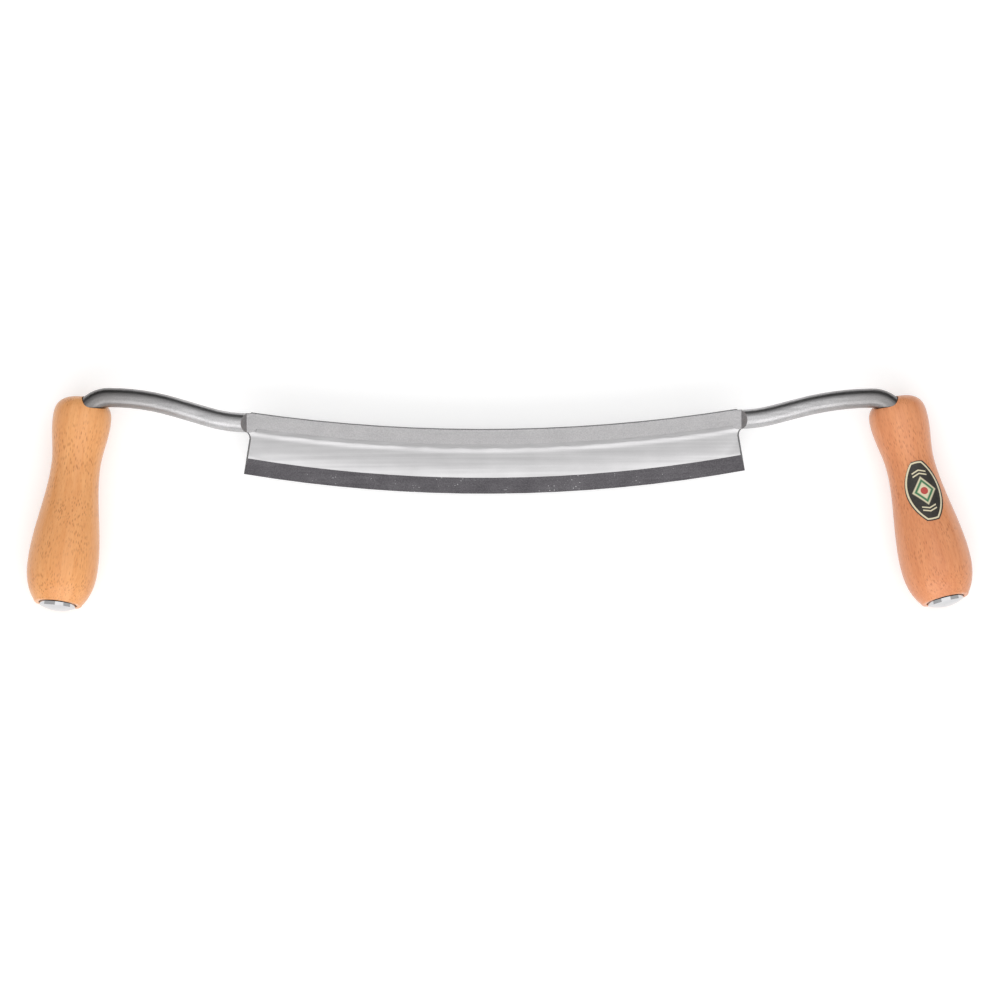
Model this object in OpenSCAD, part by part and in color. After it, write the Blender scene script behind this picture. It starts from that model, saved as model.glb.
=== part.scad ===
// Curved drawknife, lying on a bench with its bevel up and its handles towards the user.
// The bench is the plane Z = 0, X runs along the cutting edge and -Y points to the user.

/* [Blade] */
// Straight distance between the two corners of the cutting edge
edge_chord = 250; // [180:1:320]
// Radius of the curved cutting edge
edge_radius = 730; // [550:5:1500]
// Radius of the curved back of the blade
spine_radius = 800; // [600:5:1600]
// Width of the blade at its middle, from back to edge
blade_width = 32.5; // [28:0.5:42]
// Thickness of the land along the back
land_thickness = 6; // [5:0.1:7]
// Width of the land along the back
land_width = 7.2; // [5.5:0.1:9]
// Radius of the hollow ground from the land down to the web
hollow_radius = 6.5; // [4.5:0.1:9]
// Thickness of the web at the foot of the hollow
web_thickness = 3.7; // [3:0.1:4.3]
// Thickness of the web where the bevel starts
bevel_thickness = 3.3; // [2.4:0.1:4]
// Angle of the bevel to the flat back
bevel_angle = 22.5; // [18:0.5:32]
// Angle at which the ends of the blade flare out to the corners
end_flare = 9.5; // [4:0.5:16]
// Draft of the ends of the blade, from the flat back up to the web
end_draft = 14; // [6:1:22]
// Fillet under each stem
stem_fillet = 3.6; // [2:0.1:5]
// Fall of the blade from its back to its edge, as it lies on the bench
blade_drop = 16; // [8:0.5:20]

/* [Stems and tangs] */
// Diameter of the round stems
stem_diameter = 9.6; // [8.4:0.1:10.4]
// Rise of the stem centres above the middle of the handles' bulbs
stem_rise = 8.2; // [6:0.1:9.4]
// How far the tangs' lines lie beyond the corners of the edge, left
reach_left = 79.5; // [70:0.5:110]
// How far the tangs' lines lie beyond the corners of the edge, right
reach_right = 74.7; // [68:0.5:110]
// How far the left stem swings back from the blade to its bend
swing_left = 13.2; // [8:0.1:16]
// How far the right stem swings back from the blade to its bend
swing_right = 10.2; // [8:0.1:14]
// Radius of the curve in which each stem leaves the blade
root_curve = 70; // [50:1:90]
// Length of the straight between the left stem's two curves
straight_left = 18; // [6:0.5:24]
// Length of the straight between the right stem's two curves
straight_right = 14; // [6:0.5:24]
// Radius of the bend from stem to tang
bend_radius = 14; // [11:0.5:18]
// Outward splay of the left handle
splay_left = 7; // [2:0.1:18]
// Outward splay of the right handle
splay_right = 13.1; // [2:0.1:18]
// Diameter of the thread at the tip of each tang
thread_diameter = 6; // [5:0.5:7]
// Length of that thread
thread_length = 9; // [8:0.5:14]

/* [Handles] */
// Length of each handle along its axis
handle_length = 105.4; // [95:0.1:130]
// Height of the top of the bulb above the line of the stem
crown_rise = 1.3; // [0.5:0.1:2]
// Largest diameter of the rounded bulb at the tang
bulb_diameter = 29.2; // [27:0.1:32]
// Distance of that diameter from the top of the bulb
bulb_at = 11.8; // [9:0.1:15]
// Diameter of the waist
waist_diameter = 24.4; // [22:0.1:26.5]
// Distance of the waist from the top of the bulb
waist_at = 34.5; // [28:0.1:42]
// Diameter of the belly
belly_diameter = 35.2; // [33:0.1:38]
// Distance of the belly from the top of the bulb
belly_at = 85; // [75:0.5:90]
// Diameter where the belly's curve meets the end face
end_diameter = 22.6; // [22:0.1:25]
// Clearance of the drilled bore round the tang
bore_clearance = 0.3; // [0.2:0.05:0.4]
// Clearance of the cut mouth round the bend
mouth_clearance = 0.5; // [0.35:0.05:0.7]

/* [Washers and cap nuts] */
// Diameter of each cap nut's head
cap_diameter = 18; // [15:0.1:18.6]
// Height of each cap nut's head
cap_height = 3.9; // [3:0.1:6]
// Radius of the low dome on that head
cap_dome = 20; // [14:0.5:40]
// Diameter of the neck of each cap nut, inside the bore
neck_diameter = 9.2; // [8:0.1:9.2]
// Length of that neck
neck_length = 6; // [4:0.5:7]
// Diameter of each washer
washer_diameter = 18.8; // [17:0.1:19.2]
// Thickness of each washer
washer_thickness = 0.8; // [0.5:0.1:1.2]
// Depth of the washer's seat below the centre of the handle's end face
seat_depth = 1.2; // [1.1:0.1:2]
// Clearance of the seat, the washer's hole and the thread
fit_clearance = 0.2; // [0.1:0.05:0.3]

/* [Label] */
// Width of the barrel-shaped label, round the handle
label_width = 18; // [12:0.5:20]
// Length of the label, along the handle
label_length = 32; // [24:0.5:36]
// Width of the label's rounded ends
label_tip = 6.3; // [4:0.1:8]
// Distance of the label's middle from the top of the bulb
label_at = 52; // [48:0.5:58]
// Turn of the label from the top of the handle to its outer side
label_turn = 10; // [0:1:20]
// Thickness of the label
label_thickness = 0.15; // [0.1:0.05:0.25]
// Film of glue between the label and the wood
glue_film = 0.05; // [0.05:0.05:0.1]

/* [Hidden] */
$fn = 96;

// Colours
steel = [0.62, 0.62, 0.63];
beech_left = [0.88, 0.64, 0.40];
beech_right = [0.84, 0.55, 0.36];
dark_steel = [0.16, 0.16, 0.17];
chrome = [0.84, 0.85, 0.87];
label_black = [0.10, 0.10, 0.10];

// Sides: a side is drawn at +X, and the left one is mirrored
LEFT = 0;
RIGHT = 1;
splay = [splay_left, splay_right];
reach = [reach_left, reach_right];
swing = [swing_left, swing_right];
straight = [straight_left, straight_right];

// Radii
stem_radius = stem_diameter / 2;
bulb_radius = bulb_diameter / 2;
waist_radius = waist_diameter / 2;
belly_radius = belly_diameter / 2;
end_radius = end_diameter / 2;
stem_height = bulb_radius + stem_rise;

// Blade in its own frame: origin under the stems' line, X along the blade, Y from edge to back,
// Z up from the stems' line to the bevelled side
half_chord = edge_chord / 2;
root_inset = 3.3;
root_x = half_chord - root_inset;
edge_sagitta = edge_radius - sqrt(pow(edge_radius, 2) - pow(half_chord, 2));
spine_rise = spine_radius - sqrt(pow(spine_radius, 2) - pow(root_x, 2));
skin = 0.15;
stem_y = blade_width - edge_sagitta + spine_rise - stem_radius - skin;
back_z = -stem_radius - 0.1;
land_z = back_z + land_thickness;
edge_centre_y = edge_radius - edge_sagitta - stem_y;
spine_centre_y = blade_width - edge_sagitta + spine_radius - stem_y;
chord_y = -stem_y;

// Ramp from the crest of each stem down to the land
ramp_foot = half_chord - 1.9;
ramp_angle = 52;

// The stem's plan curve: two arcs joined by a straight, then the bend and the tang.
// Its frame has the same origin and X, with Y along the plane of the stems and tangs.
// Arcs are fuller than what they join by swell_step and reach past their ends by arc_lap.
swell_step = 0.02;
arc_lap = 0.4;
function corner(side) = [half_chord + reach[side], swing[side]];
function bend_angle(side) = 90 - splay[side];
function bend_start(side) = [corner(side).x - bend_radius * tan(bend_angle(side) / 2), swing[side]];
function stem_run(side) = bend_start(side).x - root_x;
function stem_slope(side) = 2 * atan(swing[side] / (stem_run(side) + straight[side]));
function far_curve(side) =
    (stem_run(side) - straight[side] * cos(stem_slope(side))) / sin(stem_slope(side)) - root_curve;
tang_length = handle_length - crown_rise;
function tang_end(side) = corner(side) + tang_length * [sin(splay[side]), -cos(splay[side])];
function tang_straight(side) = tang_length - bend_radius * tan(bend_angle(side) / 2);

// Outline of the turned handle: its radius at a distance from the top of the bulb
crown_power = 3;
end_power = 2.3;
end_edge = 1;
end_reach = (handle_length - belly_at) / pow(1 - pow(end_radius / belly_radius, 2), 1 / end_power);
function ease(t) = t * t * (3 - 2 * t);
function crown_radius(s) = bulb_radius * pow(1 - pow(1 - s / bulb_at, crown_power), 1 / crown_power);
function neck_radius(s) =
    bulb_radius + (waist_radius - bulb_radius) * ease((s - bulb_at) / (waist_at - bulb_at));
function grip_radius(s) =
    waist_radius + (belly_radius - waist_radius) * ease((s - waist_at) / (belly_at - waist_at));
function tail_radius(s) = belly_radius * sqrt(1 - pow((s - belly_at) / end_reach, end_power));

// Points of the outline, as radius and height above the end face
crown_steps = 14;
neck_steps = 12;
grip_steps = 20;
tail_steps = 14;
tail_stop = handle_length - end_edge;
function height(s) = handle_length - s;
crown_points = [for (i = [0 : crown_steps])
    let (s = bulb_at * (1 - cos(90 * i / crown_steps))) [crown_radius(s), height(s)]];
neck_points = [for (i = [1 : neck_steps])
    let (s = bulb_at + (waist_at - bulb_at) * i / neck_steps) [neck_radius(s), height(s)]];
grip_points = [for (i = [1 : grip_steps])
    let (s = waist_at + (belly_at - waist_at) * i / grip_steps) [grip_radius(s), height(s)]];
tail_points = [for (i = [1 : tail_steps])
    let (s = belly_at + (tail_stop - belly_at) * sin(90 * i / tail_steps)) [tail_radius(s), height(s)]];
edge_points = [for (a = [30 : 30 : 90])
    tail_points[tail_steps - 1] - end_edge * [1 - cos(a), sin(a)]];
outline_points = concat(crown_points, neck_points, grip_points, tail_points, edge_points, [[0, 0]]);

// Rest on the bench: each handle touches it at the bulb and the belly
rest_tilt = asin((belly_radius - bulb_radius) / (belly_at - bulb_at));
end_height = max([for (p = outline_points) p.x * cos(rest_tilt) + p.y * sin(rest_tilt)]);
function plane_tilt(side) = asin((stem_height - end_height) / -tang_end(side).y);
function end_centre(side) = [
    tang_end(side).x,
    tang_end(side).y * cos(plane_tilt(side)),
    stem_height + tang_end(side).y * sin(plane_tilt(side))
];
function handle_azimuth(side) = atan2(sin(splay[side]), cos(splay[side]) * cos(plane_tilt(side)));

// Origin: middle of the part's box in X and Y, on the bench in Z
function lean(side) = sin(handle_azimuth(side)) * cos(rest_tilt);
function outer_x(side) = max([for (p = outline_points)
    end_centre(side).x - p.y * lean(side) + p.x * sqrt(1 - pow(lean(side), 2))]);
middle_x = (outer_x(RIGHT) - outer_x(LEFT)) / 2;
back_most = max(swing) + stem_radius;
cap_face = cap_height + washer_thickness - seat_depth;
function cap_front(side) =
    end_centre(side).y + (cap_dome - cap_face) * cos(splay[side]) * cos(plane_tilt(side)) - cap_dome;
front_most = min(cap_front(LEFT), cap_front(RIGHT));
middle_y = (back_most + front_most) / 2;

module mirrored(side) {
    mirror([side == LEFT ? 1 : 0, 0, 0]) children();
}

// The plane in which a stem, its bend and its tang lie
module tang_plane(side) {
    translate([0, 0, stem_height]) rotate([plane_tilt(side), 0, 0]) children();
}

// Z runs up the tang, from the centre of the handle's end face
module along_tang(side) {
    tang_plane(side)
        translate([tang_end(side).x, tang_end(side).y, 0])
            rotate([-90, 0, splay[side]])
                children();
}

// Z runs up the handle's turning axis, from the centre of its end face
module along_handle(side) {
    translate(end_centre(side))
        rotate([0, 0, handle_azimuth(side)])
            rotate([-90 - rest_tilt, 0, 0])
                children();
}

module blade_frame() {
    translate([0, 0, stem_height]) rotate([blade_drop, 0, 0]) children();
}

module placed() {
    translate([-middle_x, -middle_y, 0]) children();
}

// A round arc of a bar, turned about the origin from one angle to another
module bar_arc(curve, radius, from, to) {
    lap = arc_lap / curve * 180 / PI;
    rotate([0, 0, from - lap])
        rotate_extrude(angle = to - from + 2 * lap)
            translate([curve, 0])
                circle(r = radius);
}

module stem_root_arc(side, radius) {
    translate([root_x, root_curve, 0]) bar_arc(root_curve, radius, -90, -90 + stem_slope(side));
}

module stem_straight(side, radius) {
    slope = stem_slope(side);
    translate([root_x + root_curve * sin(slope), root_curve * (1 - cos(slope)), 0])
        rotate([90, 0, 90 + slope])
            cylinder(r = radius, h = straight[side]);
}

module stem_far_arc(side, radius) {
    translate([bend_start(side).x, swing[side] - far_curve(side), 0])
        bar_arc(far_curve(side), radius, 90, 90 + stem_slope(side));
}

module tang_bend(side, radius) {
    translate([bend_start(side).x, swing[side] - bend_radius, 0])
        bar_arc(bend_radius, radius, splay[side], 90);
}

// Stem and tang as one bar, from inside the blade to the threaded tip
taper_top = 60;
taper_foot = thread_length - 1;
taper_tip_radius = thread_diameter / 2 + 0.5;
thread_tip = seat_depth - washer_thickness - cap_height / 2;
module bar(side) {
    tang_plane(side) {
        translate([root_x, 0, 0]) sphere(r = stem_radius);
        stem_root_arc(side, stem_radius + swell_step);
        stem_straight(side, stem_radius);
        stem_far_arc(side, stem_radius + swell_step);
        tang_bend(side, stem_radius + 2 * swell_step);
    }
    along_tang(side) {
        translate([0, 0, taper_top])
            cylinder(r = stem_radius, h = tang_straight(side) - taper_top);
        translate([0, 0, taper_foot])
            cylinder(r1 = taper_tip_radius, r2 = stem_radius - swell_step, h = taper_top + 0.2 - taper_foot);
        translate([0, 0, thread_tip])
            cylinder(d = thread_diameter, h = taper_foot + 0.2 - thread_tip);
    }
}

// Fillet circle under the stem, tangent to the stem's lower side and to the flared end
fillet_y = -stem_radius + 0.3 - stem_fillet;
fillet_x = half_chord - (fillet_y - chord_y) * tan(end_flare) + stem_fillet / cos(end_flare);
tip_round = 2.5;
tip_x = root_x + 0.8;
tip_y = spine_centre_y - sqrt(pow(spine_radius, 2) - pow(tip_x, 2));

// Half outline of the blade, without its curved edge, back and fillet
module end_outline() {
    below = chord_y - edge_sagitta - 5;
    polygon(concat(
        [[0, below], [half_chord + (chord_y - below) * tan(end_flare), below]],
        [[fillet_x - stem_fillet * cos(end_flare), fillet_y - stem_fillet * sin(end_flare)]],
        [[fillet_x, fillet_y + stem_fillet], [fillet_x, 0], [tip_x, 0]],
        [for (a = [0 : 15 : 75])
            [tip_x, tip_y] + tip_round * [cos(a) - 1, sin(a) - 1.05]],
        [[0, tip_y + 1]]
    ));
}

module blade_outline() {
    difference() {
        intersection() {
            union() {
                end_outline();
                mirror([1, 0]) end_outline();
            }
            translate([0, edge_centre_y]) circle(r = edge_radius, $fn = 1440);
        }
        translate([0, spine_centre_y]) circle(r = spine_radius, $fn = 1440);
    }
}

// Hollow and web, turned about the centre of the blade's back
over = 4;
module hollow_cut() {
    dip = 0.1;
    drop = land_thickness - web_thickness + dip;
    run = sqrt(pow(hollow_radius, 2) - pow(hollow_radius - drop, 2));
    foot = spine_radius + land_width + run;
    far = spine_radius + blade_width + over;
    taper = (web_thickness - bevel_thickness) / (blade_width - land_width - run);
    translate([0, spine_centre_y, back_z])
        rotate([0, 0, -90 - 12])
            rotate_extrude(angle = 24, $fn = 1440) {
                translate([foot, web_thickness - dip + hollow_radius]) circle(r = hollow_radius);
                polygon([
                    [foot, web_thickness],
                    [far, web_thickness - (far - foot) * taper],
                    [far, land_thickness + over],
                    [foot, land_thickness + over]
                ]);
            }
}

// Bevel, a cone turned about the centre of the cutting edge
module bevel_cut() {
    out = edge_radius + 1;
    in = edge_radius - land_thickness / tan(bevel_angle) - over;
    translate([0, edge_centre_y, back_z])
        rotate([0, 0, -90 - 12])
            rotate_extrude(angle = 24, $fn = 1440)
                polygon([
                    [out, -tan(bevel_angle)],
                    [in, (edge_radius - in) * tan(bevel_angle)],
                    [out, (edge_radius - in) * tan(bevel_angle)]
                ]);
}

// Drafted end: a slanted plane up to the fillet, and a cone round the fillet's axis
module end_cut() {
    rise = land_thickness + 1;
    translate([fillet_x, fillet_y, back_z - 0.5])
        cylinder(r1 = stem_fillet - 0.5 * tan(end_draft), r2 = stem_fillet + rise * tan(end_draft),
                 h = rise + 0.5);
    translate([half_chord, chord_y, back_z])
        rotate([0, 0, end_flare])
            rotate([0, -end_draft, 0])
                translate([0, -10, -2])
                    cube([10, 10 + (fillet_y - chord_y) / cos(end_flare), rise + 3]);
}

module blade_plate() {
    difference() {
        translate([0, 0, back_z]) linear_extrude(land_thickness) blade_outline();
        hollow_cut();
        bevel_cut();
        end_cut();
        mirror([1, 0, 0]) end_cut();
    }
}

// Clears what stands above the land, up to the ramp at the stem's crest
module ramp_cut() {
    high = stem_diameter;
    translate([ramp_foot, stem_radius + 1, land_z])
        rotate([90, 0, 0])
            linear_extrude(stem_diameter + 2)
                polygon([[0, 0], [high / tan(ramp_angle), high], [-stem_diameter, high],
                         [-stem_diameter, 0]]);
}

module blade() {
    color(steel) placed() union() {
        blade_frame() blade_plate();
        for (side = [LEFT, RIGHT])
            mirrored(side)
                difference() {
                    bar(side);
                    blade_frame() ramp_cut();
                }
    }
}

module handle(side) {
    bore_radius = stem_radius + bore_clearance;
    mouth_radius = stem_radius + mouth_clearance;
    placed() mirrored(side)
        difference() {
            along_handle(side) rotate_extrude() polygon(outline_points);
            along_tang(side) {
                translate([0, 0, -over]) cylinder(r = bore_radius, h = over + tang_straight(side));
                translate([0, 0, -over])
                    cylinder(r = washer_diameter / 2 + fit_clearance, h = over + seat_depth);
            }
            tang_plane(side) {
                tang_bend(side, mouth_radius);
                stem_far_arc(side, mouth_radius);
            }
        }
}

module washer(side) {
    hole = neck_diameter / 2 + fit_clearance;
    color(dark_steel) placed() mirrored(side) along_tang(side)
        translate([0, 0, seat_depth - washer_thickness])
            difference() {
                cylinder(d = washer_diameter, h = washer_thickness);
                translate([0, 0, -1]) cylinder(r = hole, h = washer_thickness + 2);
            }
}

module cap_nut(side) {
    head_top = seat_depth - washer_thickness;
    dome_centre = head_top - cap_height + cap_dome;
    color(chrome) placed() mirrored(side) along_tang(side)
        difference() {
            union() {
                intersection() {
                    translate([0, 0, head_top - cap_height]) cylinder(d = cap_diameter, h = cap_height);
                    translate([0, 0, dome_centre]) sphere(r = cap_dome);
                }
                translate([0, 0, head_top - 1]) cylinder(d = neck_diameter, h = neck_length + 1);
            }
            translate([0, 0, thread_tip - 0.5])
                cylinder(d = thread_diameter + 2 * fit_clearance, h = cap_height + neck_length);
        }
}

// Outline of the label: two side arcs, and ends on one circle about its middle
module label_outline() {
    side = (label_width - label_tip) / 2;
    side_curve = (pow(side, 2) + (pow(label_length, 2) - pow(label_tip, 2)) / 4) / (2 * side);
    intersection() {
        circle(d = label_length);
        translate([side_curve - label_width / 2, 0]) circle(r = side_curve);
        translate([label_width / 2 - side_curve, 0]) circle(r = side_curve);
    }
}

// Label, bent round the outer side of the grip
module label() {
    steps = 8;
    margin = 2;
    low = label_at - label_length / 2 - margin;
    inner = [for (i = [0 : steps])
        let (s = low + (label_length + 2 * margin) * i / steps) [grip_radius(s) + glue_film, height(s)]];
    outer = [for (i = [steps : -1 : 0]) inner[i] + [label_thickness, 0]];
    color(label_black) placed() along_handle(RIGHT)
        intersection() {
            rotate_extrude() polygon(concat(inner, outer));
            rotate([0, 0, label_turn])
                translate([0, 0, height(label_at)])
                    rotate([90, 0, 0])
                        linear_extrude(belly_diameter) label_outline();
        }
}

blade();
color(beech_left) handle(LEFT);  // handle_left
color(beech_right) handle(RIGHT);  // handle_right
washer(LEFT);  // washer_left
washer(RIGHT);  // washer_right
cap_nut(LEFT);  // cap_nut_left
cap_nut(RIGHT);  // cap_nut_right
label();
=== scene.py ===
from math import cos, radians, sin

import bpy
import numpy as np
from mathutils import Matrix, Vector


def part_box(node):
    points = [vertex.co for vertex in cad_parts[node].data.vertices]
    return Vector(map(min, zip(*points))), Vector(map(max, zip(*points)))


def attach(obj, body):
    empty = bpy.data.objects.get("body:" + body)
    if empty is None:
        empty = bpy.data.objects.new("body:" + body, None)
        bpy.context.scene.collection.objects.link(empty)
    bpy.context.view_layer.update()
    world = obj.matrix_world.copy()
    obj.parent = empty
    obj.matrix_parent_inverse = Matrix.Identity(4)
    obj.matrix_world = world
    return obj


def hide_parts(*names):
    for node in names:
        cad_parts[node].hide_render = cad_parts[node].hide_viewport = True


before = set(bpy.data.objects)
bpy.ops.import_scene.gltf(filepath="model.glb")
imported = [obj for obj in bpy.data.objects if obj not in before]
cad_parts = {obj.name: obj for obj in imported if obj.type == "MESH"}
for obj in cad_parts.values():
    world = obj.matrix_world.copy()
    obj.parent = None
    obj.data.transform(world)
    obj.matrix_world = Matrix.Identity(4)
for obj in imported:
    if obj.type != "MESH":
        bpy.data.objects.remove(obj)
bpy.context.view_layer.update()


# Blade: one steel forging, hollow ground between a thick land and a dark bevel.
# Its stems and tangs are drawn out of the same bar; each zone has its own finish.
MERGE_WITHIN = 2e-6


def dressed_copy(name, node, smooth_angle):
    """A copy of a node's mesh with its points merged, shaded smooth up to an angle in degrees."""
    piece = bpy.data.objects.new(name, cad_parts[node].data.copy())
    bpy.context.scene.collection.objects.link(piece)
    bpy.ops.object.select_all(action="DESELECT")
    piece.select_set(True)
    bpy.context.view_layer.objects.active = piece
    piece.data.materials.clear()
    bpy.ops.object.mode_set(mode="EDIT")
    bpy.ops.mesh.select_all(action="SELECT")
    bpy.ops.mesh.customdata_custom_splitnormals_clear()
    bpy.ops.mesh.remove_doubles(threshold=MERGE_WITHIN)
    bpy.ops.object.mode_set(mode="OBJECT")
    bpy.ops.object.shade_smooth_by_angle(angle=radians(smooth_angle))
    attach(piece, "root")
    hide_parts(node)
    return piece


def new_material(name):
    """A new material, its node tree and its Principled shader."""
    material = bpy.data.materials.new(name)
    material.use_nodes = True
    tree = material.node_tree
    return material, tree, tree.nodes["Principled BSDF"]


def new_group(name, inputs):
    """A group that puts out a colour, a roughness and a height; with its input sockets and its end node."""
    tree = bpy.data.node_groups.new(name, "ShaderNodeTree")
    for socket, kind in inputs.items():
        tree.interface.new_socket(socket, in_out="INPUT", socket_type="NodeSocket" + kind)
    for socket, kind in {"Color": "Color", "Roughness": "Float", "Height": "Float"}.items():
        tree.interface.new_socket(socket, in_out="OUTPUT", socket_type="NodeSocket" + kind)
    return tree, tree.nodes.new("NodeGroupInput").outputs, tree.nodes.new("NodeGroupOutput")


def plug(tree, node, inputs):
    """Links each named input of a node from a socket, or sets it to a value."""
    for name, value in inputs.items():
        socket = node.inputs[name]
        if isinstance(value, bpy.types.NodeSocket):
            tree.links.new(value, socket)
        else:
            socket.default_value = value


def add_node(tree, kind, inputs=None, **settings):
    """A new node with its settings and its inputs."""
    node = tree.nodes.new(kind)
    for name, value in settings.items():
        setattr(node, name, value)
    plug(tree, node, inputs or {})
    return node


def object_place(tree):
    """Each point's place in the object's own coordinates, in metres."""
    return add_node(tree, "ShaderNodeTexCoord").outputs["Object"]


def stretched(tree, place, scale):
    """A place with each of its axes scaled."""
    return add_node(tree, "ShaderNodeMapping", {"Vector": place, "Scale": scale}).outputs[0]


def noise(tree, place, scale, detail, output=0):
    """Cloudy noise over a place; output 0 is its value."""
    inputs = {"Vector": place, "Scale": scale, "Detail": detail}
    return add_node(tree, "ShaderNodeTexNoise", inputs).outputs[output]


def cell_distance(tree, place, scale):
    """Distance to the nearest of many scattered points, for dots."""
    return add_node(tree, "ShaderNodeTexVoronoi", {"Vector": place, "Scale": scale}).outputs["Distance"]


def spread(tree, value, span=(0.0, 1.0), onto=(0.0, 1.0)):
    """Maps a span of values onto another one, and holds what lies outside it at its ends."""
    inputs = {"Value": value, "From Min": span[0], "From Max": span[1], "To Min": onto[0], "To Max": onto[1]}
    return add_node(tree, "ShaderNodeMapRange", inputs).outputs[0]


def calc(tree, operation, first, second=0.0):
    """One step of arithmetic."""
    return add_node(tree, "ShaderNodeMath", {0: first, 1: second}, operation=operation).outputs[0]


def blend(tree, amount, under, over):
    """Mixes two values; an amount of 0 gives the first and 1 the second."""
    return add_node(tree, "ShaderNodeMix", {0: amount, 2: under, 3: over}).outputs[0]


def paint(tree, amount, under, over):
    """Lays one colour over another; an amount of 0 leaves the first and 1 covers it."""
    return add_node(tree, "ShaderNodeMix", {0: amount, 6: under, 7: over}, data_type="RGBA").outputs[2]


RELIEF_DEPTH = 0.0001


def relief(tree, height, strength):
    """A fine unevenness of the surface, from a height that changes over it."""
    inputs = {"Strength": strength, "Distance": RELIEF_DEPTH, "Height": height}
    return add_node(tree, "ShaderNodeBump", inputs).outputs[0]


NOISE_SPAN = (0.3, 0.7)
CLOUD_SCALE = 90.0
GRIT_SCALE = 1700.0
GRIT_SPAN = (0.36, 0.64)
BRUSH_SCALE = (14.0, 700.0, 700.0)
SPECK_SCALE = 620.0
SPECK_SPAN = (0.17, 0.08)
SPECK_CLOUDS = (0.5, 0.62)
SPECK_COLOR = (0.75, 0.75, 0.75, 1)


def steel_group():
    """Forged or brushed skin: cloudy patches, pits, lines along X and small bright specks."""
    tree, given, result = new_group("steel_skin", {
        "Vector": "Vector", "Dark": "Color", "Light": "Color", "Pitting": "Float", "Brushing": "Float",
        "Specks": "Float", "Rough low": "Float", "Rough high": "Float",
    })
    place = given["Vector"]
    cloud = noise(tree, place, CLOUD_SCALE, detail=4.0)
    mottle = spread(tree, cloud, NOISE_SPAN)
    pits = spread(tree, noise(tree, place, GRIT_SCALE, detail=3.0), GRIT_SPAN)
    brush = noise(tree, stretched(tree, place, BRUSH_SCALE), scale=1.0, detail=3.0)
    lines = spread(tree, brush, NOISE_SPAN)
    pitted = blend(tree, given["Pitting"], mottle, pits)
    height = blend(tree, given["Brushing"], pitted, lines)
    dots = spread(tree, cell_distance(tree, place, SPECK_SCALE), SPECK_SPAN)
    some_dots = calc(tree, "MULTIPLY", dots, spread(tree, cloud, SPECK_CLOUDS))
    specks = calc(tree, "MULTIPLY", some_dots, given["Specks"])
    color = paint(tree, height, given["Dark"], given["Light"])
    plug(tree, result, {
        "Color": paint(tree, specks, color, SPECK_COLOR),
        "Roughness": blend(tree, height, given["Rough high"], given["Rough low"]),
        "Height": height,
    })
    return tree


steel_skin = steel_group()
# Stem colour is darkened towards the handles, from the first distance along X to the second, to this dark
# grey.
DARKEN_FROM = 0.150
DARKEN_FULL = 0.196
DARKENED_COLOR = (0.15, 0.14, 0.135, 1)


def steel(name, dark, light, pitting, brushing, specks, rough, bump, darkened=0.0):
    """A steel finish; its last argument sets how far its colour is darkened towards the handles, between two
    distances along X from the middle.
    """
    material, tree, shader = new_material(name)
    place = object_place(tree)
    skin = add_node(tree, "ShaderNodeGroup", {
        "Vector": place, "Dark": (*dark, 1), "Light": (*light, 1), "Pitting": pitting, "Brushing": brushing,
        "Specks": specks, "Rough low": rough[0], "Rough high": rough[1],
    }, node_tree=steel_skin).outputs
    from_middle = calc(tree, "ABSOLUTE", add_node(tree, "ShaderNodeSeparateXYZ", {0: place}).outputs["X"])
    # The colour darkens with distance from the middle along X, towards the handles.
    scale = spread(tree, from_middle, (DARKEN_FROM, DARKEN_FULL), onto=(0.0, darkened))
    plug(tree, shader, {
        "Base Color": paint(tree, scale, skin["Color"], DARKENED_COLOR),
        "Roughness": skin["Roughness"],
        "Normal": relief(tree, skin["Height"], bump),
        "Metallic": 1.0,
    })
    return material


finishes = (
    steel("stem_steel", dark=(0.34, 0.335, 0.34), light=(0.56, 0.555, 0.56), pitting=0.6, brushing=0.35,
          specks=0.35, rough=(0.26, 0.42), bump=0.35, darkened=0.75),
    steel("land_steel", dark=(0.37, 0.365, 0.37), light=(0.47, 0.46, 0.465), pitting=0.7, brushing=0.15,
          specks=0.25, rough=(0.42, 0.56), bump=0.5),
    steel("ground_steel", dark=(0.39, 0.385, 0.39), light=(0.48, 0.475, 0.48), pitting=0.25, brushing=0.6,
          specks=0.1, rough=(0.28, 0.40), bump=0.15),
    steel("bevel_steel", dark=(0.062, 0.058, 0.064), light=(0.115, 0.11, 0.117), pitting=0.6, brushing=0.2,
          specks=0.6, rough=(0.40, 0.54), bump=0.5),
    steel("edge_steel", dark=(0.07, 0.07, 0.075), light=(0.14, 0.14, 0.145), pitting=0.6, brushing=0.1,
          specks=0.0, rough=(0.45, 0.60), bump=0.5),
)
STEM, LAND, GROUND, BEVEL, EDGE = range(len(finishes))

# The blade drops from its back to its edge, so a face's zone is told on the levelled blade.
# Places there are measured from the middle of the line through the roots of both stems.
BLADE_DROP = radians(16)
STEM_CENTRE = Vector((-0.002239, 0.038518, 0.0228))
level = Matrix.Rotation(-BLADE_DROP, 3, "X")
PLATE_HALF = 0.1262
RAMP_FROM = 0.1235
BACK_Z = -0.0049
LAND_Z = 0.0011
LAND_REAR = 0.0052
LAND_FRONT = -0.0049
LAND_OVER = 2e-5
LAND_UNDER = 2e-4
FLAT_COSINE = 0.995
UNDERSIDE_COSINE = -0.99
BEVEL_COSINE = cos(radians(22.5))
BEVEL_SLACK = 0.015
BEVEL_HEIGHT = 0.0036
BEVEL_REAR = -0.012
HOLLOW_COSINE = 0.3
END_COSINE = 0.5


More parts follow.
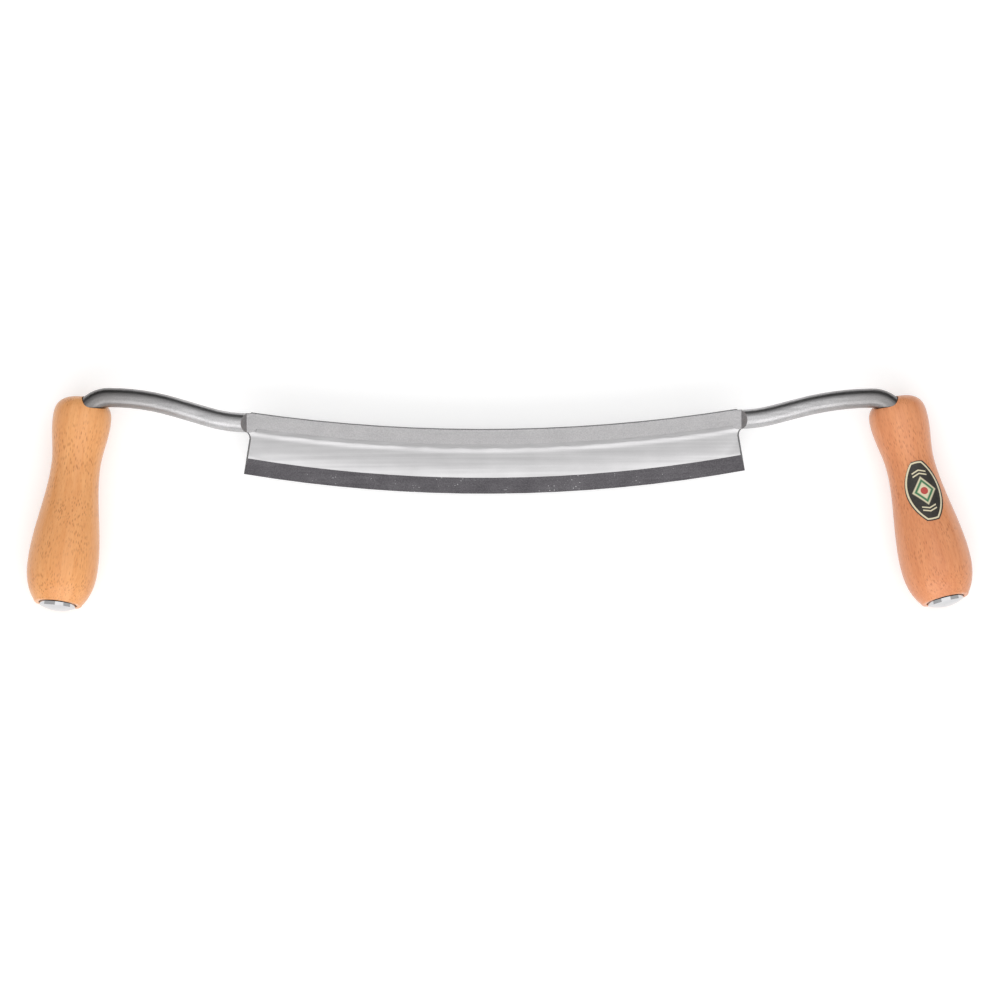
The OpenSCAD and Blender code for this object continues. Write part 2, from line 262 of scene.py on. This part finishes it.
def zone_of(face):
    """Which of the finishes a face has, from where it lies on the levelled blade and how it faces."""
    place = level @ (face.center - STEM_CENTRE)
    facing = level @ face.normal
    on_plate = abs(place.x) < PLATE_HALF and place.z < LAND_Z + LAND_OVER and place.y < LAND_REAR
    on_ramp = place.y > LAND_FRONT and abs(place.x) > RAMP_FROM
    if not on_plate or on_ramp:
        return STEM
    if facing.z > FLAT_COSINE and place.z > LAND_Z - LAND_UNDER:
        return LAND
    if facing.z < UNDERSIDE_COSINE:
        return GROUND
    at_bevel_slope = abs(facing.z - BEVEL_COSINE) < BEVEL_SLACK
    if at_bevel_slope and place.z < BACK_Z + BEVEL_HEIGHT and place.y < BEVEL_REAR:
        return BEVEL
    if facing.z > HOLLOW_COSINE and abs(facing.x) < END_COSINE:
        return GROUND
    return EDGE


forging = dressed_copy("blade_forging", "blade", smooth_angle=32)
for finish in finishes:
    forging.data.materials.append(finish)
for face in forging.data.polygons:
    face.material_index = zone_of(face)


# Handles: turned from beech, drilled for the tangs, cut to the bend and lacquered.
# The flecks are the wood's rays; they run along each handle's turning axis.
BEND_SCALE = 22.0
BEND_REACH = (0.004, 0.004, 0.0)
YEAR_SCALE = (170.0, 60.0, 9.0)
FIBRE_SCALE = (1500.0, 1500.0, 70.0)
FIBRE_SHARE = 0.45
FLECK_SCALE = (1150.0, 1150.0, 320.0)
FLECK_SPAN = (0.42, 0.16)
PATCH_SCALE = 75.0
PATCH_SPAN = (0.40, 0.62)
FEWEST_FLECKS = 0.25
LACQUER_ROUGHNESS = (0.30, 0.44)


def wood_group():
    """Beech: year rings, fibres and ray flecks, from a place whose Z runs along the wood."""
    tree, given, result = new_group("beech_grain", {
        "Vector": "Vector", "Pale": "Color", "Warm": "Color", "Fleck": "Color", "Fleck amount": "Float",
    })
    bend = noise(tree, given["Vector"], BEND_SCALE, detail=1.0, output="Color")
    shift = add_node(tree, "ShaderNodeVectorMath", {0: bend, 1: BEND_REACH}, operation="MULTIPLY").outputs[0]
    inputs = {0: given["Vector"], 1: shift}
    place = add_node(tree, "ShaderNodeVectorMath", inputs, operation="ADD").outputs[0]
    years = noise(tree, stretched(tree, place, YEAR_SCALE), scale=1.0, detail=4.0)
    fibre = noise(tree, stretched(tree, place, FIBRE_SCALE), scale=1.0, detail=2.0)
    tone = blend(tree, FIBRE_SHARE, spread(tree, years, NOISE_SPAN), spread(tree, fibre, NOISE_SPAN))
    spots = spread(tree, cell_distance(tree, stretched(tree, place, FLECK_SCALE), scale=1.0), FLECK_SPAN)
    patch = noise(tree, given["Vector"], PATCH_SCALE, detail=2.0)
    some_spots = calc(tree, "MULTIPLY", spots, spread(tree, patch, PATCH_SPAN, onto=(FEWEST_FLECKS, 1.0)))
    flecks = calc(tree, "MULTIPLY", some_spots, given["Fleck amount"])
    wood = paint(tree, tone, given["Pale"], given["Warm"])
    plug(tree, result, {
        "Color": paint(tree, flecks, wood, given["Fleck"]),
        "Roughness": spread(tree, tone, onto=LACQUER_ROUGHNESS),
        "Height": fibre,
    })
    return tree


beech_grain = wood_group()


def turning_frame(node):
    """The middle of a handle and the direction of its turning axis, to the user, from its own mesh."""
    count = len(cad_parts[node].data.vertices)
    points = np.zeros(count * 3, np.float32)
    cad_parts[node].data.vertices.foreach_get("co", points)
    points = points.reshape(-1, 3).astype(float)
    middle = (points.min(0) + points.max(0)) / 2
    _, directions = np.linalg.eigh(np.cov((points - middle).T))
    axis = Vector(directions[:, 2])
    if axis.y > 0:
        axis.negate()
    return Vector(middle), axis


def own_place(tree, middle, turn, unit=1.0):
    """The place on a piece, measured from its middle along its own turned axes, in a unit in metres."""
    return add_node(tree, "ShaderNodeMapping", {
        "Vector": object_place(tree), "Location": middle, "Rotation": turn, "Scale": (unit, unit, unit),
    }, vector_type="TEXTURE").outputs[0]


def beech(name, node, pale, warm, fleck, fleck_amount):
    """Lacquered beech whose grain follows one handle."""
    material, tree, shader = new_material(name)
    middle, axis = turning_frame(node)
    turn = axis.to_track_quat("Z", "Y").to_euler()
    grain = add_node(tree, "ShaderNodeGroup", {
        "Vector": own_place(tree, middle, turn), "Pale": (*pale, 1), "Warm": (*warm, 1),
        "Fleck": (*fleck, 1), "Fleck amount": fleck_amount,
    }, node_tree=beech_grain).outputs
    plug(tree, shader, {
        "Base Color": grain["Color"],
        "Roughness": grain["Roughness"],
        "Normal": relief(tree, grain["Height"], strength=0.15),
        "Coat Weight": 0.3,
        "Coat Roughness": 0.12,
        "Specular IOR Level": 0.35,
    })
    return material


yellow_beech = beech("beech_yellow", "handle_left", pale=(0.95, 0.465, 0.185), warm=(0.78, 0.315, 0.10),
                     fleck=(0.44, 0.15, 0.04), fleck_amount=0.7)
left_handle = dressed_copy("handle_left_beech", "handle_left", smooth_angle=35)
left_handle.data.materials.append(yellow_beech)
reddish_beech = beech("beech_reddish", "handle_right", pale=(0.88, 0.375, 0.17), warm=(0.68, 0.235, 0.095),
                      fleck=(0.42, 0.13, 0.05), fleck_amount=0.65)
right_handle = dressed_copy("handle_right_beech", "handle_right", smooth_angle=35)
right_handle.data.materials.append(reddish_beech)


# Washers: thin discs in the spot-faced seats, under the cap nuts, coloured near black as painted shade.
# Only their rims show; their dark stands in for the shadowed gap between wood and bright metal.
# Near-black steel: painted shadow for the gap round each cap nut.
shadow_gap_steel = steel("shadow_gap_steel", dark=(0.01, 0.01, 0.011), light=(0.03, 0.03, 0.032), pitting=0.4,
                    brushing=0.2, specks=0.0, rough=(0.4, 0.55), bump=0.3)
for side in ("left", "right"):
    washer = dressed_copy("washer_" + side + "_shadow_gap", "washer_" + side, smooth_angle=30)
    washer.data.materials.append(shadow_gap_steel)


# Cap nuts: low domed heads, turned and chrome plated, screwed on the tangs' threads.
# The plating has faint smudges from hands.
SMUDGE_SCALE = 260.0
SMUDGE_SPAN = (0.35, 0.7)
PLATE_ROUGHNESS = (0.06, 0.16)
PLATE_CLEAN = (0.66, 0.66, 0.67, 1)
PLATE_SMUDGED = (0.54, 0.54, 0.55, 1)


def chrome_plate():
    """Bright plating with faint smudges."""
    material, tree, shader = new_material("chrome_plate")
    smudge = noise(tree, object_place(tree), SMUDGE_SCALE, detail=4.0)
    plug(tree, shader, {
        "Base Color": paint(tree, smudge, PLATE_CLEAN, PLATE_SMUDGED),
        "Roughness": spread(tree, smudge, SMUDGE_SPAN, onto=PLATE_ROUGHNESS),
        "Metallic": 1.0,
    })
    return material


chrome = chrome_plate()
for side in ("left", "right"):
    cap = dressed_copy("cap_nut_" + side + "_chrome", "cap_nut_" + side, smooth_angle=30)
    cap.data.materials.append(chrome)


# Label: a printed film glued to the right handle's grip, black with a cream rim.
# Its lozenge, dot and bars are a plain pattern without words, measured in millimetres.
# A circle about its middle rounds both ends, and a flatter arc each side, as on the film itself.
LABEL_LENGTH = 32.0
LABEL_WIDTH = 18.0
LABEL_TIP = 6.3
SIDE_STEP = (LABEL_WIDTH - LABEL_TIP) / 2
SIDE_CURVE = (SIDE_STEP ** 2 + (LABEL_LENGTH ** 2 - LABEL_TIP ** 2) / 4) / (2 * SIDE_STEP)
RIM_OUTER = 0.55
RIM_INNER = 1.35
LOZENGE_ACROSS = 6.0
LOZENGE_ALONG = 7.6
RING_OUTER = 0.84
RING_INNER = 0.60
DOT_RADIUS = 1.9
BARS_AT = (9.3, 11.0)
BAR_LEAN = 0.35
BAR_THICK = 0.35
BAR_REACH = 3.6
PRINT_BLUR = 0.06
WEAR_SCALE = 900.0
MOST_WEAR = 0.05
FILM_ROUGHNESS = (0.30, 0.45)
CREAM = (0.80, 0.72, 0.50, 1)
GREEN = (0.03, 0.19, 0.08, 1)
RED = (0.55, 0.06, 0.05, 1)
BLACK = (0.015, 0.014, 0.014, 1)


def film_turn():
    """The turn of the label's own axes: X across the handle, Y along it to the user, Z out of the film."""
    _, axis = turning_frame("handle_right")
    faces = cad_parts["label"].data.polygons
    outward = sum((face.normal * face.area for face in faces if face.normal.z > 0), Vector())
    outward = (outward - axis * outward.dot(axis)).normalized()
    across = axis.cross(outward).normalized()
    return Matrix((across, axis, across.cross(axis))).transposed().to_euler()


def label_print():
    """The label's print, laid out in millimetres on the film and the same in its four quarters."""
    material, tree, shader = new_material("label_print")
    low_corner, high_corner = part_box("label")
    middle = (Vector(low_corner) + Vector(high_corner)) / 2
    place = own_place(tree, middle, film_turn(), unit=0.001)
    split = add_node(tree, "ShaderNodeSeparateXYZ", {0: place}).outputs

    def distance(across, along):
        """How far a point lies from where both measures are 0."""
        squares = [calc(tree, "MULTIPLY", measure, measure) for measure in (across, along)]
        return calc(tree, "SQRT", calc(tree, "ADD", *squares))

    def mask(value, limit):
        """1 where the value is under the limit, with a soft printed border."""
        return spread(tree, value, (limit + PRINT_BLUR, limit - PRINT_BLUR))

    across = calc(tree, "ABSOLUTE", split["X"])
    along = calc(tree, "ABSOLUTE", split["Y"])
    from_middle = distance(across, along)
    from_side_centre = distance(calc(tree, "ADD", across, SIDE_CURVE - LABEL_WIDTH / 2), along)
    past_ends = calc(tree, "SUBTRACT", from_middle, LABEL_LENGTH / 2)
    past_sides = calc(tree, "SUBTRACT", from_side_centre, SIDE_CURVE)
    past_outline = calc(tree, "MAXIMUM", past_ends, past_sides)
    rim = calc(tree, "SUBTRACT", mask(past_outline, -RIM_OUTER), mask(past_outline, -RIM_INNER))
    color = paint(tree, rim, BLACK, CREAM)
    lozenge = calc(tree, "ADD", calc(tree, "DIVIDE", across, LOZENGE_ACROSS),
                   calc(tree, "DIVIDE", along, LOZENGE_ALONG))
    color = paint(tree, mask(lozenge, 1.0), color, CREAM)
    ring = calc(tree, "SUBTRACT", mask(lozenge, RING_OUTER), mask(lozenge, RING_INNER))
    color = paint(tree, ring, color, GREEN)
    color = paint(tree, mask(from_middle, DOT_RADIUS), color, RED)
    leaning = calc(tree, "ADD", along, calc(tree, "MULTIPLY", across, BAR_LEAN))
    for bar_at in BARS_AT:
        from_bar = calc(tree, "ABSOLUTE", calc(tree, "SUBTRACT", leaning, bar_at))
        bar = calc(tree, "MULTIPLY", mask(from_bar, BAR_THICK), mask(across, BAR_REACH))
        color = paint(tree, bar, color, CREAM)
    wear = noise(tree, object_place(tree), WEAR_SCALE, detail=3.0)
    plug(tree, shader, {
        "Base Color": paint(tree, spread(tree, wear, onto=(0.0, MOST_WEAR)), color, CREAM),
        "Roughness": spread(tree, wear, onto=FILM_ROUGHNESS),
    })
    return material


label = dressed_copy("label_film", "label", smooth_angle=30)
label.data.materials.append(label_print())


# Studio: a pale floor under the tool, a pale surround and a dark card behind it.
# The card gives the round stems their dark upper side, as a studio's dark end does.
FLOOR_SIZE = 6.0
FLOOR_GLOW = 0.4
CARD_PLACE = (0, 0.30, 0.17)
CARD_LEAN = radians(60)
CARD_SIZE = (1.4, 0.38, 1.0)
SURROUND_LEVEL = 0.6

bpy.ops.mesh.primitive_plane_add(size=FLOOR_SIZE, location=(0, 0, 0))
floor = bpy.context.active_object
floor.name = "floor"
floor_paint, floor_tree, floor_shader = new_material("floor_paint")
ray = add_node(floor_tree, "ShaderNodeLightPath").outputs
seen = calc(floor_tree, "MAXIMUM", ray["Is Camera Ray"], ray["Is Glossy Ray"])
plug(floor_tree, floor_shader, {
    "Base Color": (0.80, 0.80, 0.80, 1),
    "Roughness": 0.9,
    "Specular IOR Level": 0.0,
    "Emission Color": (1, 1, 1, 1),
    "Emission Strength": calc(floor_tree, "MULTIPLY", seen, FLOOR_GLOW),
})
floor.data.materials.append(floor_paint)

bpy.ops.mesh.primitive_plane_add(size=1.0, location=CARD_PLACE, rotation=(CARD_LEAN, 0, 0))
card = bpy.context.active_object
card.name = "dark_card"
card.scale = CARD_SIZE
card.visible_camera = False
card.visible_diffuse = False
card.visible_shadow = False
card_paint, card_tree, card_shader = new_material("card_paint")
plug(card_tree, card_shader, {"Base Color": (0.02, 0.02, 0.02, 1), "Roughness": 1.0})
card.data.materials.append(card_paint)

world = bpy.data.worlds.new("studio")
bpy.context.scene.world = world
world.use_nodes = True
seen = add_node(world.node_tree, "ShaderNodeLightPath").outputs["Is Camera Ray"]
plug(world.node_tree, world.node_tree.nodes["Background"], {
    "Color": (1, 1, 1, 1),
    "Strength": spread(world.node_tree, seen, onto=(SURROUND_LEVEL, 1.0)),
})


def soft_lamp(name, place, wide, high_side, power):
    """A rectangular soft lamp at a place, turned to the tool at the origin."""
    data = bpy.data.lights.new(name, "AREA")
    data.shape = "RECTANGLE"
    data.size = wide
    data.size_y = high_side
    data.energy = power
    lamp = bpy.data.objects.new(name, data)
    bpy.context.scene.collection.objects.link(lamp)
    lamp.location = place
    lamp.rotation_euler = (Vector() - Vector(place)).to_track_quat("-Z", "Y").to_euler()


soft_lamp("front_window", place=(0.0, -1.45, 1.0), wide=2.8, high_side=1.4, power=18.0)
soft_lamp("overhead", place=(0.2, -0.2, 2.2), wide=2.4, high_side=1.8, power=10.0)


# Camera: high over the bench, leaning back towards the user, far off with a long lens.
# Its roll and small offset give the photograph's framing.
CAMERA_LEAN = radians(10)
CAMERA_ROLL = radians(0.41)
CAMERA_FAR = 3.5
PIXELS_PER_METRE = 1999.7
FRAME_PIXELS = 999
ORIGIN_PIXEL = (499.126, 505.178)
SENSOR = 36.0
right = Vector((1, 0, 0))
up = Vector((0, cos(CAMERA_LEAN), sin(CAMERA_LEAN)))
backward = right.cross(up)
rolled_right = cos(CAMERA_ROLL) * right - sin(CAMERA_ROLL) * up
rolled_up = sin(CAMERA_ROLL) * right + cos(CAMERA_ROLL) * up
centre = FRAME_PIXELS / 2
aim = (rolled_right * (centre - ORIGIN_PIXEL[0]) - rolled_up * (centre - ORIGIN_PIXEL[1])) / PIXELS_PER_METRE
lens = bpy.data.cameras.new("camera")
lens.sensor_width = SENSOR
lens.lens = PIXELS_PER_METRE * CAMERA_FAR * SENSOR / FRAME_PIXELS
lens.clip_end = 50.0
camera = bpy.data.objects.new("camera", lens)
bpy.context.scene.collection.objects.link(camera)
turned = Matrix((rolled_right, rolled_up, backward)).transposed().to_4x4()
camera.matrix_world = Matrix.Translation(aim + backward * CAMERA_FAR) @ turned
bpy.context.scene.camera = camera
bpy.context.scene.view_settings.view_transform = "Standard"
